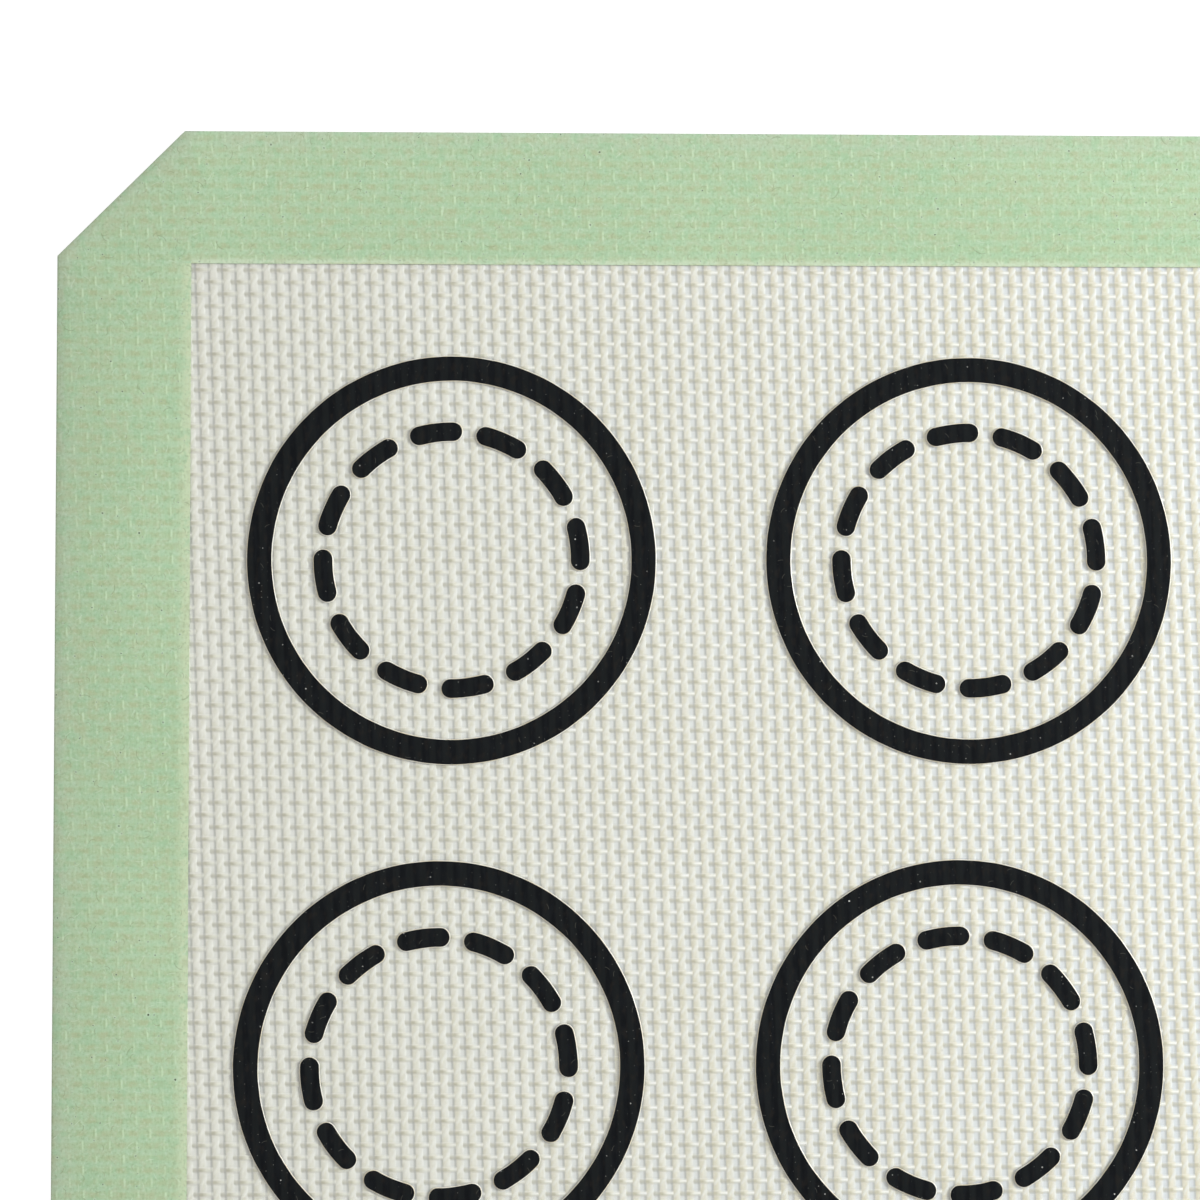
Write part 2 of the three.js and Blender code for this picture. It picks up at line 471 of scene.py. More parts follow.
def weft_relief(paint, weave, body, glint):
    """Normal of a yarn that tilts up onto each warp yarn it passes over, and falls past it."""
    place = weave.along_float()
    rise = paint.ramp(place, -0.8, 0.0, "LINEAR")
    height = paint.times(rise, paint.ramp(place, 1.0, 0.75))
    climb = paint.bump(height, body, WEFT_CLIMB)
    fall = paint.bump(paint.ramp(place, 0.75, 0.2, "LINEAR"), glint, WEFT_FALL, climb)
    half = WEFT_WIDTH / WEFT_PITCH / 2
    across = paint.ramp(paint.math("ABSOLUTE", weave.along), half, 0.0)
    return paint.bump(across, 1.0, WEFT_ROUND, fall)


def weft_material():
    """Glass fibre whose middle shows as dashes, each where a yarn passes over the warp."""
    paint = Paint("weft_glass")
    weave = Weave(paint)
    half = WEFT_WIDTH / WEFT_PITCH / 2
    streaks = yarn_streaks(paint, (800, 3600, 1))
    middle = paint.ramp(paint.math("ABSOLUTE", weave.along), half, 0.2 * half)
    body = paint.times(middle, paint.ramp(weave.along_float(), -0.88, -0.62))
    glint = paint.ramp(paint.math("ABSOLUTE", paint.math("SUBTRACT", weave.along, 0.03)), 0.14, 0.03)
    colour = weft_colour(paint, weave, streaks, body, glint)
    normal = paint.bump(streaks, 0.4, 0.02 * MM, weft_relief(paint, weave, body, glint))
    return yarn_surface(paint, colour, streaks, normal)


def under_coat_material():
    """Milky silicone, which fills the gaps of the cloth and shows the yarns on the underside."""
    paint = Paint("milky_silicone")
    weave = Weave(paint)
    clouds = paint.noise(120.0, detail=3.0)
    grains = paint.noise(2500.0, detail=1.0)
    tone = paint.math("ADD", paint.times(clouds, 0.7), paint.times(grains, 0.3))
    colour = paint.mix(paint.times(tone, 0.1), weave.toned(*MILKY), srgb(205, 210, 208))
    colour = paint.mix(weave.on_warp(1.1, 0.7), colour, srgb(228, 224, 205))
    on_weft = weave.mark(weave.warp_over, 0.0, 0.5, WEFT_WIDTH / WEFT_PITCH / 2)
    # painted seam shade beside each warp yarn
    colour = weave.seam_shaded(paint.mix(on_weft, colour, srgb(216, 211, 190)))
    roughness = paint.math("ADD", 0.32, paint.times(grains, 0.15))
    height = paint.math("ADD", paint.times(grains, 0.2), on_weft)
    normal = paint.bump(height, 0.3, 0.03 * MM, weave.crown())
    return paint.finish(paint.principled(colour, roughness, normal))


def over_coat_material():
    """Clear silicone with a faint haze, glossy at a low angle."""
    paint = Paint("clear_silicone")
    facing = paint.add("ShaderNodeLayerWeight").outputs["Facing"]
    gloss = paint.times(paint.math("POWER", facing, 5.0), 0.6)
    cover = paint.math("ADD", gloss, COAT_HAZE)
    silicone = paint.principled(srgb(240, 240, 234), 0.3)
    clear = paint.add("ShaderNodeBsdfTransparent")
    mixed = paint.add("ShaderNodeMixShader")
    paint.put(mixed.inputs[0], cover)
    paint.put(mixed.inputs[1], clear.outputs[0])
    paint.put(mixed.inputs[2], silicone)
    return paint.finish(mixed.outputs[0])


def outline_distance(paint):
    """How far a point lies inside the mat's outline."""
    across = paint.math("SUBTRACT", MAT_HIGH.x, paint.math("ABSOLUTE", paint.x))
    along = paint.math("SUBTRACT", MAT_HIGH.y, paint.math("ABSOLUTE", paint.y))
    corner = paint.math("SUBTRACT", paint.math("ADD", across, along), MAT_CUT)
    corner = paint.math("DIVIDE", corner, math.sqrt(2))
    return paint.math("MINIMUM", paint.math("MINIMUM", across, along), corner)


def specks(paint, density, radius, chance):
    """Uneven specks at random places, and the pale ring round each."""
    sideways = paint.times(paint.noise(0.9 / radius, detail=1.0), 2 * radius)
    upwards = paint.times(paint.noise(0.7 / radius, detail=1.0), 2 * radius)
    cells = paint.add("ShaderNodeTexVoronoi", voronoi_dimensions="2D")
    paint.put(cells.inputs["Vector"], paint.vector("ADD", paint.place, paint.joined(sideways, upwards)))
    cells.inputs["Scale"].default_value = density
    split = paint.add("ShaderNodeSeparateColor")
    paint.put(split.inputs[0], cells.outputs["Color"])
    chosen = paint.math("LESS_THAN", split.outputs[0], chance)
    reach = radius * density
    size = paint.math("MULTIPLY_ADD", split.outputs[1], 0.8, 0.6)
    distance = paint.math("DIVIDE", cells.outputs["Distance"], size)
    strength = paint.math("MULTIPLY_ADD", split.outputs[2], 0.7, 0.3)
    core = paint.times(paint.ramp(distance, 1.2 * reach, 0.6 * reach), chosen)
    core = paint.times(core, strength)
    halo = paint.times(paint.ramp(distance, 2.6 * reach, 1.2 * reach), chosen)
    return core, halo


def hairs(paint, density, reach, bend, thickness, chance):
    """Fine hairs at random places: each an arc that runs through one random point."""
    cells = paint.add("ShaderNodeTexVoronoi", voronoi_dimensions="2D")
    paint.put(cells.inputs["Vector"], paint.place)
    cells.inputs["Scale"].default_value = density
    split = paint.add("ShaderNodeSeparateColor")
    paint.put(split.inputs[0], cells.outputs["Color"])
    chosen = paint.math("LESS_THAN", split.outputs[2], chance)
    flat = paint.vector("MULTIPLY", paint.place, (1, 1, 0))
    from_point = paint.vector("SUBTRACT", flat, cells.outputs["Position"])
    angle = paint.times(split.outputs[0], 2 * math.pi)
    sideways = paint.times(paint.math("COSINE", angle), bend)
    upwards = paint.times(paint.math("SINE", angle), bend)
    to_middle = paint.vector("DISTANCE", from_point, paint.joined(sideways, upwards))
    off_arc = paint.math("ABSOLUTE", paint.math("SUBTRACT", to_middle, bend))
    line = paint.ramp(off_arc, thickness, 0.3 * thickness)
    inside = paint.ramp(paint.vector("LENGTH", from_point), reach, 0.7 * reach)
    return paint.times(paint.times(line, inside), chosen)


def weave_through(paint, colour):
    """The yarns below the band, showing softly through it, with painted shade and painted highlight
    beside the crowns of the warp yarns.
    """
    weave = Weave(paint)
    blots = paint.noise(420.0, detail=3.0)
    uneven = paint.math("MULTIPLY_ADD", paint.ramp(blots, 0.35, 0.65), 0.6, 0.4)
    gap = paint.ramp(paint.math("ABSOLUTE", weave.across), 0.22, 0.40)
    colour = paint.tint(colour, (190, 222, 192), gap, 0.2)
    rows = paint.ramp(paint.math("ABSOLUTE", weave.along), 0.42, 0.10)
    colour = paint.tint(colour, (186, 209, 163), rows, 0.6)
    # the two marks beside each warp yarn's crown, dark on its left and pale on its right, are painted
    # shade and painted highlight of its relief
    for kind, middle, half_across, half_along, strength, tone in (
        (weave.weft_over, 0.0, 0.36, 0.22, 0.6, (186, 194, 150)),
        (weave.warp_over, 0.10, 0.09, 0.42, 0.45, (176, 197, 151)),
        (weave.warp_over, 0.25, 0.08, 0.42, 1.0, (210, 236, 196)),
    ):
        mark = weave.mark(kind, middle, half_across, half_along)
        colour = paint.tint(colour, tone, paint.times(mark, uneven), strength)
    return colour


def rims(paint, colour):
    """The band's outer rim, paler in clouds towards the outline, and its thin inner one."""
    cloudy = paint.ramp(paint.noise(300.0, detail=3.0), 0.25, 0.65)
    pale_by_outline = paint.times(paint.ramp(outline_distance(paint), 4.0 * MM, 0.3 * MM), cloudy)
    colour = paint.tint(colour, (199, 212, 188), pale_by_outline, 0.55)
    beside = paint.math("SUBTRACT", paint.math("ABSOLUTE", paint.x), WINDOW_HIGH.x)
    above = paint.math("SUBTRACT", paint.math("ABSOLUTE", paint.y), WINDOW_HIGH.y)
    beside_window = paint.math("LESS_THAN", above, 0.0)
    ragged = paint.math("MULTIPLY_ADD", paint.noise(600.0, detail=2.0), 1.2 * MM, beside)
    thin_rim = paint.times(paint.ramp(ragged, 2.6 * MM, 0.7 * MM), beside_window)
    colour = paint.tint(colour, (216, 230, 192), thin_rim, 0.9)
    above_window = paint.math("LESS_THAN", beside, 0.0)
    pale_line = paint.times(paint.ramp(above, 1.0 * MM, 0.2 * MM), above_window)
    colour = paint.tint(colour, (218, 234, 204), pale_line, 0.85)
    broken = paint.ramp(paint.noise(500.0, detail=1.0), 0.4, 0.6)
    olive_line = paint.times(paint.ramp(above, 0.30 * MM, 0.12 * MM), above_window)
    return paint.tint(colour, (202, 208, 164), paint.times(olive_line, broken), 0.5)


def band_material():
    """Green silicone with the weave below it showing faintly, and with specks and hairs in it."""
    paint = Paint("green_silicone")
    patches = paint.noise(22.0, detail=4.0)
    mottle = paint.noise(2600.0, detail=3.0, roughness=0.6)
    strands = paint.streaks((5200, 420, 1))
    tints = paint.noise(600.0, detail=3.0, roughness=0.6)
    colour = paint.mix(paint.ramp(patches, 0.3, 0.7), srgb(180, 210, 170), srgb(192, 221, 182))
    colour = weave_through(paint, colour)
    colour = rims(paint, colour)
    for pattern, none, full, strength, tone in (
        (tints, 0.5, 0.68, 0.55, (192, 204, 165)),
        (tints, 0.5, 0.32, 0.55, (170, 210, 168)),
        (mottle, 0.51, 0.70, 0.55, (160, 183, 142)),
        (mottle, 0.49, 0.30, 0.5, (210, 232, 204)),
        (strands, 0.5, 0.8, 0.3, (206, 230, 192)),
        (strands, 0.5, 0.2, 0.25, (168, 196, 152)),
    ):
        colour = paint.tint(colour, tone, paint.ramp(pattern, none, full), strength)
    for density, reach, bend, chance, tone in (
        (210, 0.8 * MM, 1.1 * MM, 0.25, (130, 140, 100)),
        (420, 0.45 * MM, 0.5 * MM, 0.40, (146, 154, 116)),
        (380, 0.6 * MM, 1.8 * MM, 0.40, (222, 240, 214)),
    ):
        line = hairs(paint, density, reach, bend, 0.06 * MM, chance)
        colour = paint.tint(colour, tone, line, 0.5)
    for density, radius, chance, strength in ((130, 0.10 * MM, 0.8, 1.0), (400, 0.07 * MM, 0.45, 0.95)):
        core, halo = specks(paint, density, radius, chance)
        colour = paint.tint(colour, (210, 231, 206), halo, 0.4)
        colour = paint.tint(colour, (62, 74, 52), core, strength)
    roughness = paint.math("ADD", 0.36, paint.times(patches, 0.12))
    taper = paint.ramp(outline_distance(paint), BAND_TAPER_REACH, 0.0, "LINEAR")
    tapered = paint.bump(paint.math("POWER", taper, 2.0), 1.0, -BAND_TAPER)
    normal = paint.bump(mottle, 0.2, 0.03 * MM, tapered)
    return paint.finish(paint.principled(colour, roughness, normal))


def ink_material():
    """Black silicone ink, with fine pale grains and hairs and a hint of the yarns below."""
    paint = Paint("black_ink")
    weave = Weave(paint)
    streaks = paint.streaks((1800, 350, 1))
    colour = paint.mix(paint.ramp(streaks, 0.35, 0.7), srgb(4, 8, 13), srgb(16, 20, 24))
    ridge = paint.ramp(paint.math("ABSOLUTE", weave.across), 0.35, 0.15)
    colour = paint.tint(colour, (27, 31, 31), ridge, 0.5)
    brown = paint.streaks((1500, 700, 1), detail=3.0)
    colour = paint.tint(colour, (38, 33, 28), paint.ramp(brown, 0.5, 0.7), 0.4)
    scratch = hairs(paint, 420, 0.4 * MM, 0.9 * MM, 0.05 * MM, 0.3)
    colour = paint.tint(colour, (120, 118, 108), scratch, 0.3)
    clusters = paint.math("MULTIPLY_ADD", paint.ramp(paint.noise(160.0), 0.45, 0.62), 0.65, 0.35)
    for density, radius, chance, tone in (
        (1100, 0.05 * MM, 0.4, (120, 120, 115)),
        (330, 0.07 * MM, 0.4, (236, 236, 230)),
    ):
        grain = paint.times(specks(paint, density, radius, chance)[0], clusters)
        colour = paint.mix(grain, colour, srgb(*tone))
    grains = paint.noise(3000.0, detail=1.0)
    roughness = paint.math("ADD", 0.3, paint.times(grains, 0.14))
    height = paint.math("ADD", paint.times(grains, 0.3), ridge)
    normal = paint.bump(height, 0.2, 0.04 * MM)
    return paint.finish(paint.principled(colour, roughness, normal, Specular_IOR_Level=0.2))


def rim_material():
    """Pale silicone that climbs to the edge of each printed stroke."""
    paint = Paint("print_rim")
    patches = paint.noise(800.0, detail=2.0)
    colour = paint.mix(paint.ramp(patches, 0.3, 0.7), srgb(230, 219, 190), srgb(246, 243, 230))
    return paint.finish(paint.principled(colour, 0.35))


# Meshes


def mesh_piece(name, vertices, faces, material, sharp=math.pi):
    """A new piece from its vertices and groups of faces, sharp at edges that turn this far."""
    mesh = bpy.data.meshes.new(name)
    mesh.vertices.add(len(vertices))
    mesh.vertices.foreach_set("co", np.asarray(vertices, np.float32).ravel())
    corners = np.concatenate([group.ravel() for group in faces])
    counts = np.concatenate([np.full(len(group), group.shape[1]) for group in faces])
    mesh.loops.add(len(corners))
    mesh.loops.foreach_set("vertex_index", corners.astype(np.int32))
    mesh.polygons.add(len(counts))
    mesh.polygons.foreach_set("loop_start", (np.cumsum(counts) - counts).astype(np.int32))
    mesh.update(calc_edges=True)
    mesh.validate()
    mesh.shade_smooth()
    mesh.set_sharp_from_angle(angle=sharp)
    mesh.materials.append(material)
    piece = bpy.data.objects.new(name, mesh)
    bpy.context.scene.collection.objects.link(piece)
    return piece


def merge_doubles(mesh):
    """Joins the vertices that lie in one place, and drops the faces without area between them."""
    work = bmesh.new()
    work.from_mesh(mesh)
    bmesh.ops.remove_doubles(work, verts=work.verts, dist=0.001 * MM)
    work.to_mesh(mesh)
    work.free()


def swept_faces(rings, sides, closed_path=False):
    """Quads between rings of vertices that follow one another, each ring closed on itself."""
    steps = rings if closed_path else rings - 1
    ring = np.arange(steps)[:, None]
    side = np.arange(sides)[None, :]
    after = (ring + 1) % rings
    beside = (side + 1) % sides
    corners = [ring * sides + side, ring * sides + beside, after * sides + beside, after * sides + side]
    return np.stack(corners, axis=2).reshape(-1, 4)


def inside_outline(x, y, low, high, cut):
    """How far points lie inside a rectangle with cut corners."""
    half_x = (high.x - low.x) / 2
    half_y = (high.y - low.y) / 2
    across = np.abs(x - (high.x + low.x) / 2)
    along = np.abs(y - (high.y + low.y) / 2)
    diagonal = (half_x + half_y - cut - across - along) / math.sqrt(2)
    return np.minimum(np.minimum(half_x - across, half_y - along), diagonal)


# Cloth


def bow(place, phase):
    """Slow drift of a yarn along its length, the same for neighbours."""
    return YARN_BOW * np.sin(2 * math.pi * place / YARN_BOW_LENGTH + phase)


def warp_line(number, y):
    """X of the middle of a warp yarn where it passes y."""
    return number * WARP_PITCH - y * WARP_LEAN + bow(y, WARP_BOW_PHASE)


def weft_line(number, x):
    """Y of the middle of a weft yarn where it passes x."""
    return number * WEFT_PITCH + bow(x, WEFT_BOW_PHASE)


def yarn_numbers(pitch, reach):
    last = int(reach / pitch)
    return np.arange(-last, last + 1)


def tube(middle, across, half_width, half_thickness, section):
    """Vertices and faces of one closed yarn, with the section's points round each place on its path."""
    section = np.array(section)
    sides = section[:, 0][None, :, None] * half_width[:, None, None] * across[None, None, :]
    ups = section[:, 1][None, :, None] * half_thickness * np.array([0.0, 0.0, 1.0])[None, None, :]
    rings = middle[:, None, :] + sides + ups
    quads = swept_faces(len(middle), len(section))
    first = np.arange(len(section))[::-1][None, :]
    last = (np.arange(len(section)) + (len(middle) - 1) * len(section))[None, :]
    return rings.reshape(-1, 3), quads, np.concatenate([first, last])


def yarn_widths(rng, width, count):
    own = 1 + YARN_WIDTH_SPREAD * rng.standard_normal()
    return width / 2 * own * (1 + 0.5 * YARN_WIDTH_SPREAD * rng.standard_normal(count))


def warp_yarn(number, wefts, rng):
    y = weft_line(wefts, number * WARP_PITCH)
    x = warp_line(number, y) + YARN_WOBBLE * rng.standard_normal(len(y))
    over = np.where((wefts + number) % 2 == 0, -1.0, 1.0)
    z = CLOTH_MIDDLE + WARP_RISE * over
    kept = inside_outline(x, y, CLOTH_LOW, CLOTH_HIGH, CLOTH_CUT) > WARP_WIDTH / 2
    if kept.sum() < 2:
        return None
    middle = np.stack([x, y, z], axis=1)[kept]
    widths = yarn_widths(rng, WARP_WIDTH, len(middle))
    return tube(middle, np.array([1.0, 0.0, 0.0]), widths, WARP_THICKNESS / 2, WARP_SECTION)


def weft_yarn(number, warps, rng):
    crossing = warp_line(warps, number * WEFT_PITCH)
    x = np.stack([crossing - WEFT_GRIP, crossing + WEFT_GRIP], axis=1).ravel()
    y = weft_line(number, x) + YARN_WOBBLE * rng.standard_normal(len(x))
    rise = np.where((warps + number) % 2 == 0, WEFT_RISE, WEFT_LOW)
    z = CLOTH_MIDDLE + np.repeat(rise, 2)
    kept = inside_outline(x, y, CLOTH_LOW, CLOTH_HIGH, CLOTH_CUT) > WEFT_WIDTH / 2
    if kept.sum() < 2:
        return None
    middle = np.stack([x, y, z], axis=1)[kept]
    widths = yarn_widths(rng, WEFT_WIDTH, len(middle))
    return tube(middle, np.array([0.0, -1.0, 0.0]), widths, WEFT_THICKNESS / 2, WEFT_SECTION)


def joined_yarns(name, yarns, material):
    """One piece of many yarns, with its own map for the bake: the yarns seen from above."""
    vertices, quads, caps = [], [], []
    offset = 0
    for points, sides, ends in yarns:
        vertices.append(points)
        quads.append(sides + offset)
        caps.append(ends + offset)
        offset += len(points)
    vertices = np.concatenate(vertices)
    faces = [np.concatenate(quads), np.concatenate(caps)]
    piece = mesh_piece(name, vertices, faces, material, YARN_TURN)
    low = vertices[:, :2].min(0)
    size = vertices[:, :2].max(0) - low
    mesh = piece.data
    corners = np.empty(len(mesh.loops), np.int32)
    mesh.loops.foreach_get("vertex_index", corners)
    layer = mesh.uv_layers.new(name="OFBake")
    layer.uv.foreach_set("vector", ((vertices[corners, :2] - low) / size).astype(np.float32).ravel())
    return piece


def cloth_pieces():
    rng = np.random.default_rng(YARN_SEED)
    lean_reach = CLOTH_HIGH.y * WARP_LEAN + 2 * YARN_BOW
    warps = yarn_numbers(WARP_PITCH, CLOTH_HIGH.x + lean_reach)
    wefts = yarn_numbers(WEFT_PITCH, CLOTH_HIGH.y + 2 * YARN_BOW)
    kinds = [
        ("warp", [warp_yarn(n, wefts, rng) for n in warps], WARP_GROUPS, warp_material()),
        ("weft", [weft_yarn(n, warps, rng) for n in wefts], WEFT_GROUPS, weft_material()),
    ]
    pieces = []
    for kind, yarns, groups, material in kinds:
        yarns = [yarn for yarn in yarns if yarn is not None]
        share = math.ceil(len(yarns) / groups)
        for group in range(groups):
            members = yarns[group * share:(group + 1) * share]
            piece = joined_yarns(f"cloth_{kind}_{group + 1}", members, material)
            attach(piece, "root")
            pieces.append(piece)
    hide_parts("glass_cloth")
    return pieces


# Coats


def slab(name, low, high, bottom, top, material):
    corners = [(low.x, low.y), (high.x, low.y), (high.x, high.y), (low.x, high.y)]
    vertices = [(x, y, z) for z in (bottom, top) for x, y in corners]
    sides = [(i, (i + 1) % 4, (i + 1) % 4 + 4, i + 4) for i in range(4)]
    faces = np.array([(3, 2, 1, 0), (4, 5, 6, 7)] + sides)
    piece = mesh_piece(name, np.array(vertices), [faces], material, SHARP_TURN)
    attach(piece, "root")
    return piece


def coat_pieces():
    under = slab("under_coat", WINDOW_LOW, WINDOW_HIGH, MAT_LOW.z, UNDER_COAT_TOP, under_coat_material())
    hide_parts("bottom_coat")
    over = slab("over_coat", WINDOW_LOW, WINDOW_HIGH, OVER_COAT_BOTTOM, MAT_TOP, over_coat_material())
    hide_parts("top_coat")
    return under, over


# Edge band


def outline_points(low, high, cut, step):
    """Points along a rectangle with cut corners, counterclockwise, with one at every corner."""
    corners = [
        (high.x, low.y + cut), (high.x, high.y - cut), (high.x - cut, high.y), (low.x + cut, high.y),
        (low.x, high.y - cut), (low.x, low.y + cut), (low.x + cut, low.y), (high.x - cut, low.y),
    ]
    points = []
    for index, start in enumerate(corners):
        end = corners[(index + 1) % len(corners)]
        count = max(1, round(math.dist(start, end) / step))
        for part in range(count):
            share = part / count
            x = start[0] + (end[0] - start[0]) * share
            y = start[1] + (end[1] - start[1]) * share
            points.append((x, y))
    return np.array(points)


def band_profile():
    """Inset and height round the band's section, from the top's inner edge outwards and under."""
    groove_low, groove_high = BAND_GROOVE
    rounding = []
    for step in range(4):
        angle = math.pi / 2 * step / 3
        rounding.append((BAND_ROUND * (1 - math.sin(angle)), BAND_ROUND * (1 - math.cos(angle))))
    across = [BAND_WIDTH * share for share in (1.0, 0.97, 0.75, 0.5, 0.25, 0.08)]
    points = [(inset, MAT_TOP) for inset in across]
    points += [(inset, MAT_TOP - height) for inset, height in rounding]
    points += [(inset, MAT_LOW.z + height) for inset, height in reversed(rounding)]
    points += [(inset, MAT_LOW.z) for inset in reversed(across)]
    points += [(BAND_WIDTH, groove_low), (BAND_SEAL, groove_low)]
    points += [(BAND_SEAL, groove_high), (BAND_WIDTH, groove_high)]
    return np.array(points)


def edge_band():
    outer = outline_points(MAT_LOW, MAT_HIGH, MAT_CUT, BAND_STEP)
    inner = np.clip(outer, [WINDOW_LOW.x, WINDOW_LOW.y], [WINDOW_HIGH.x, WINDOW_HIGH.y])
    profile = band_profile()
    share = (profile[:, 0] / BAND_WIDTH)[None, :, None]
    flat = outer[:, None, :] * (1 - share) + inner[:, None, :] * share
    height = np.broadcast_to(profile[:, 1][None, :, None], (len(outer), len(profile), 1))
    vertices = np.concatenate([flat, height], axis=2).reshape(-1, 3)
    faces = swept_faces(len(outer), len(profile), closed_path=True)
    piece = mesh_piece("band", vertices, [faces], band_material(), SHARP_TURN)
    merge_doubles(piece.data)
    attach(piece, "root")
    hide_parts("edge_band")
    return piece


# Print


def print_profile(low, high):
    """Inset and height up the pale rim of a printed stroke, up the ink's slope and onto its flat."""
    rim_top = low + 0.8 * (high - low)
    return [(-PRINT_RIM, low), (0.0, rim_top), (PRINT_SLOPE, high), (2 * PRINT_SLOPE, high)]


def wavering(rng, count):
    """Small smooth unevenness along a closed line."""
    rough = rng.standard_normal(count)
    return PRINT_WAVER * (rough + np.roll(rough, 1) + np.roll(rough, -1)) / math.sqrt(3)


def guide_middle(node):
    low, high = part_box(node)
    return np.array([(low.x + high.x) / 2, (low.y + high.y) / 2])


def printed_piece(name, vertices, faces, materials, on_rim):
    """A piece of ink whose faces on the rim take the second material."""
    ink, rim = materials
    piece = mesh_piece(name, vertices, faces, ink, PRINT_TURN)
    piece.data.materials.append(rim)
    piece.data.polygons.foreach_set("material_index", on_rim.astype(np.int32))
    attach(piece, "root")
    return piece


def guide_ring(node, materials, rng):
    low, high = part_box(node)
    outer = (high.x - low.x) / 2
    angle = 2 * math.pi * np.arange(RING_STEPS) / RING_STEPS
    direction = np.column_stack([np.cos(angle), np.sin(angle)])
    profile = print_profile(low.z, high.z)
    loops = []
    for radius, outward, side in ((outer - RING_STROKE, 1, profile), (outer, -1, profile[::-1])):
        edge = radius + wavering(rng, RING_STEPS)
        for inset, height in side:
            flat = guide_middle(node) + direction * (edge + outward * inset)[:, None]
            loops.append(np.column_stack([flat, np.full(RING_STEPS, height)]))
    rings = np.stack(loops, axis=1)
    faces = swept_faces(*rings.shape[:2], closed_path=True)
    strip = np.arange(len(faces)) % len(loops)
    on_rim = (strip == 0) | (strip == len(loops) - 2)
    piece = printed_piece(f"{node}_ink", rings.reshape(-1, 3), [faces], materials, on_rim)
    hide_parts(node)
    return piece


def dash_outline(direction):
    """Points round a dash that lies across a direction from the guide's middle, counterclockwise."""
    circle = DASH_CIRCLE / 2
    end_radius = DASH_STROKE / 2
    reach = (DASH_LENGTH / 2 - end_radius) / circle
    points = []
    for side in (1, -1):
        for step in range(1, DASH_SIDE_STEPS):
            angle = direction + reach * side * (2 * step / DASH_SIDE_STEPS - 1)
            radius = circle + side * end_radius
            points.append((radius * math.cos(angle), radius * math.sin(angle)))
        angle = direction + side * reach
        start = angle if side > 0 else angle + math.pi
        for step in range(DASH_END_STEPS + 1):
            turn = start + math.pi * step / DASH_END_STEPS
            x = circle * math.cos(angle) + end_radius * math.cos(turn)
            y = circle * math.sin(angle) + end_radius * math.sin(turn)
            points.append((x, y))
    return np.array(points)


def inward_normals(outline):
    """Unit directions to the left of a counterclockwise outline, at each of its points."""
    along = np.roll(outline, -1, axis=0) - np.roll(outline, 1, axis=0)
    normal = np.column_stack([-along[:, 1], along[:, 0]])
    return normal / np.linalg.norm(normal, axis=1, keepdims=True)


def guide_dashes(node, materials, rng):
    low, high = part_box(node)
    profile = print_profile(low.z, high.z)
    vertices, quads, caps, on_rim = [], [], [], []
    offset = 0
    for dash in range(DASH_COUNT):
        outline = dash_outline(DASH_TURN + 2 * math.pi * dash / DASH_COUNT)
        count = len(outline)
        normals = inward_normals(outline)
        outline = guide_middle(node) + outline + normals * wavering(rng, count)[:, None]
        for inset, height in profile:
            vertices.append(np.column_stack([outline + normals * inset, np.full(count, height)]))
        here = np.arange(count * (len(profile) - 1))
        after = here - here % count + (here + 1) % count
        quads.append(offset + np.column_stack([here, after, after + count, here + count]))
        on_rim.append(here < count)
        around = np.arange(count)
        caps.append(offset + np.stack([around[::-1], around + count * (len(profile) - 1)]))
        offset += count * len(profile)
    name = node.replace("ring", "dashes")
    faces = [np.concatenate(quads), np.concatenate(caps)]
    on_rim = np.concatenate(on_rim + [np.zeros(2 * DASH_COUNT, bool)])
    return printed_piece(f"{name}_ink", np.concatenate(vertices), faces, materials, on_rim)


def guide_pieces():
    materials = (ink_material(), rim_material())
    rng = np.random.default_rng(PRINT_SEED)
    nodes = sorted(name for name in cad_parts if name.startswith("guide_ring"))
    return [make(node, materials, rng) for node in nodes for make in (guide_ring, guide_dashes)]


# Studio


def studio_floor():
    corners = FLOOR_REACH * np.array([(-1, -1, 0), (1, -1, 0), (1, 1, 0), (-1, 1, 0)])
    corners[:, 2] = MAT_LOW.z - FLOOR_DROP
    paint = Paint("studio_floor")
    path = paint.add("ShaderNodeLightPath")
    shown = paint.math("MAXIMUM", path.outputs["Is Camera Ray"], path.outputs["Is Glossy Ray"])
    shown = paint.math("MAXIMUM", shown, path.outputs["Is Transmission Ray"])
    grain = paint.noise(40.0)
    diffuse = paint.add("ShaderNodeBsdfDiffuse")
    paint.put(diffuse.inputs["Color"], paint.mix(grain, *FLOOR_GREYS))
    glow = paint.add("ShaderNodeEmission")
    paint.put(glow.inputs["Strength"], paint.times(shown, FLOOR_GLOW))
    both = paint.add("ShaderNodeAddShader")
    paint.put(both.inputs[0], diffuse.outputs[0])
    paint.put(both.inputs[1], glow.outputs[0])
    material = paint.finish(both.outputs[0])
    floor = mesh_piece("studio_floor", corners, [np.array([(0, 1, 2, 3)])], material)


def lamp_object(name, data):
    lamp = bpy.data.objects.new(name, data)
    bpy.context.scene.collection.objects.link(lamp)
    return lamp


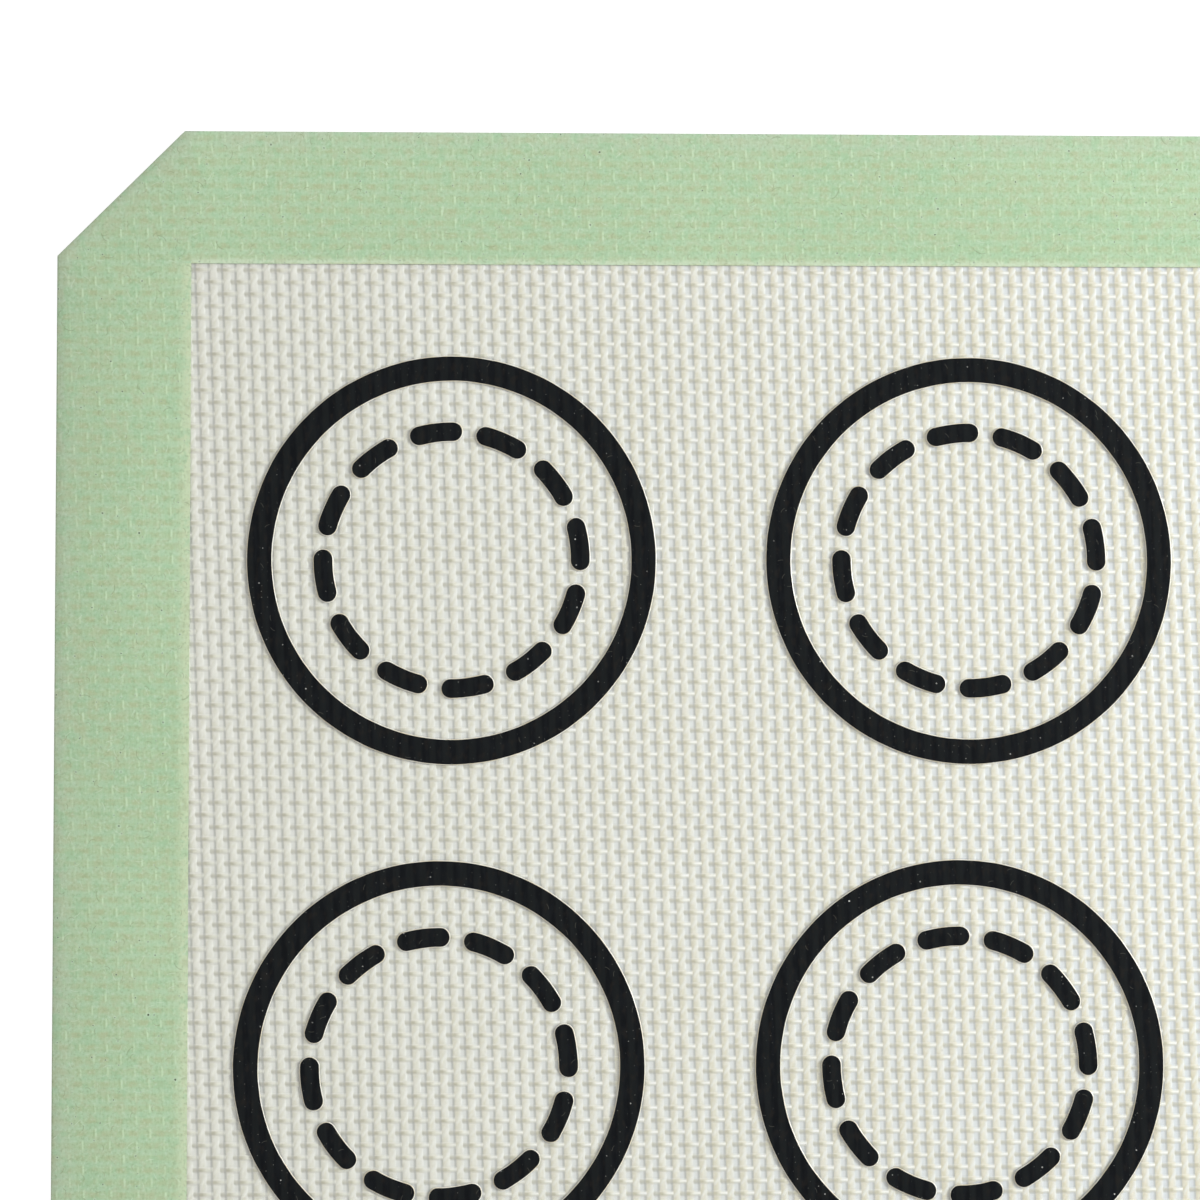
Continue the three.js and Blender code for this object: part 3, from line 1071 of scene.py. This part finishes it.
def key_light():
    """A soft box to the right of the mat, cool and fairly low, so that the yarns show their relief."""
    data = bpy.data.lights.new("key_light", "AREA")
    data.size = KEY_SIZE
    data.spread = KEY_SPREAD
    data.energy = KEY_POWER
    data.color = KEY_COLOUR
    lamp = lamp_object("key_light", data)
    lamp.location = KEY_PLACE
    lamp.rotation_euler = (KEY_TARGET - KEY_PLACE).to_track_quat("-Z", "Y").to_euler()


def fill_light():
    """A broad warm light from the left."""
    data = bpy.data.lights.new("fill_light", "SUN")
    data.energy = FILL_LEVEL * math.pi / math.sin(FILL_HEIGHT)
    data.angle = FILL_SOFTNESS
    data.color = FILL_COLOUR
    lamp = lamp_object("fill_light", data)
    lamp.rotation_euler = (0, math.pi / 2 - FILL_HEIGHT, FILL_FROM)


def studio_light():
    key_light()
    fill_light()
    world = bpy.data.worlds.new("studio")
    bpy.context.scene.world = world
    world.use_nodes = True
    nodes = world.node_tree.nodes
    links = world.node_tree.links
    path = nodes.new("ShaderNodeLightPath")
    shown = nodes.new("ShaderNodeMath")
    shown.operation = "MAXIMUM"
    links.new(path.outputs["Is Camera Ray"], shown.inputs[0])
    links.new(path.outputs["Is Transmission Ray"], shown.inputs[1])
    strength = nodes.new("ShaderNodeMapRange")
    strength.inputs["To Min"].default_value = WORLD_LEVEL
    strength.inputs["To Max"].default_value = 1.0
    links.new(shown.outputs[0], strength.inputs["Value"])
    background = nodes["Background"]
    background.inputs["Color"].default_value = (1, 1, 1, 1)
    links.new(strength.outputs[0], background.inputs["Strength"])


def photograph_camera():
    data = bpy.data.cameras.new("camera")
    data.lens = CAMERA_LENS
    data.sensor_width = 36.0
    data.clip_start = 0.01
    camera = bpy.data.objects.new("camera", data)
    camera.location = CAMERA_PLACE
    camera.rotation_euler = CAMERA_TURN
    bpy.context.scene.collection.objects.link(camera)
    bpy.context.scene.camera = camera


photograph_camera()
studio_floor()
studio_light()
under, over = coat_pieces()
cloth = cloth_pieces()
band = edge_band()
guides = guide_pieces()

bpy.context.scene.view_settings.view_transform = "Standard"
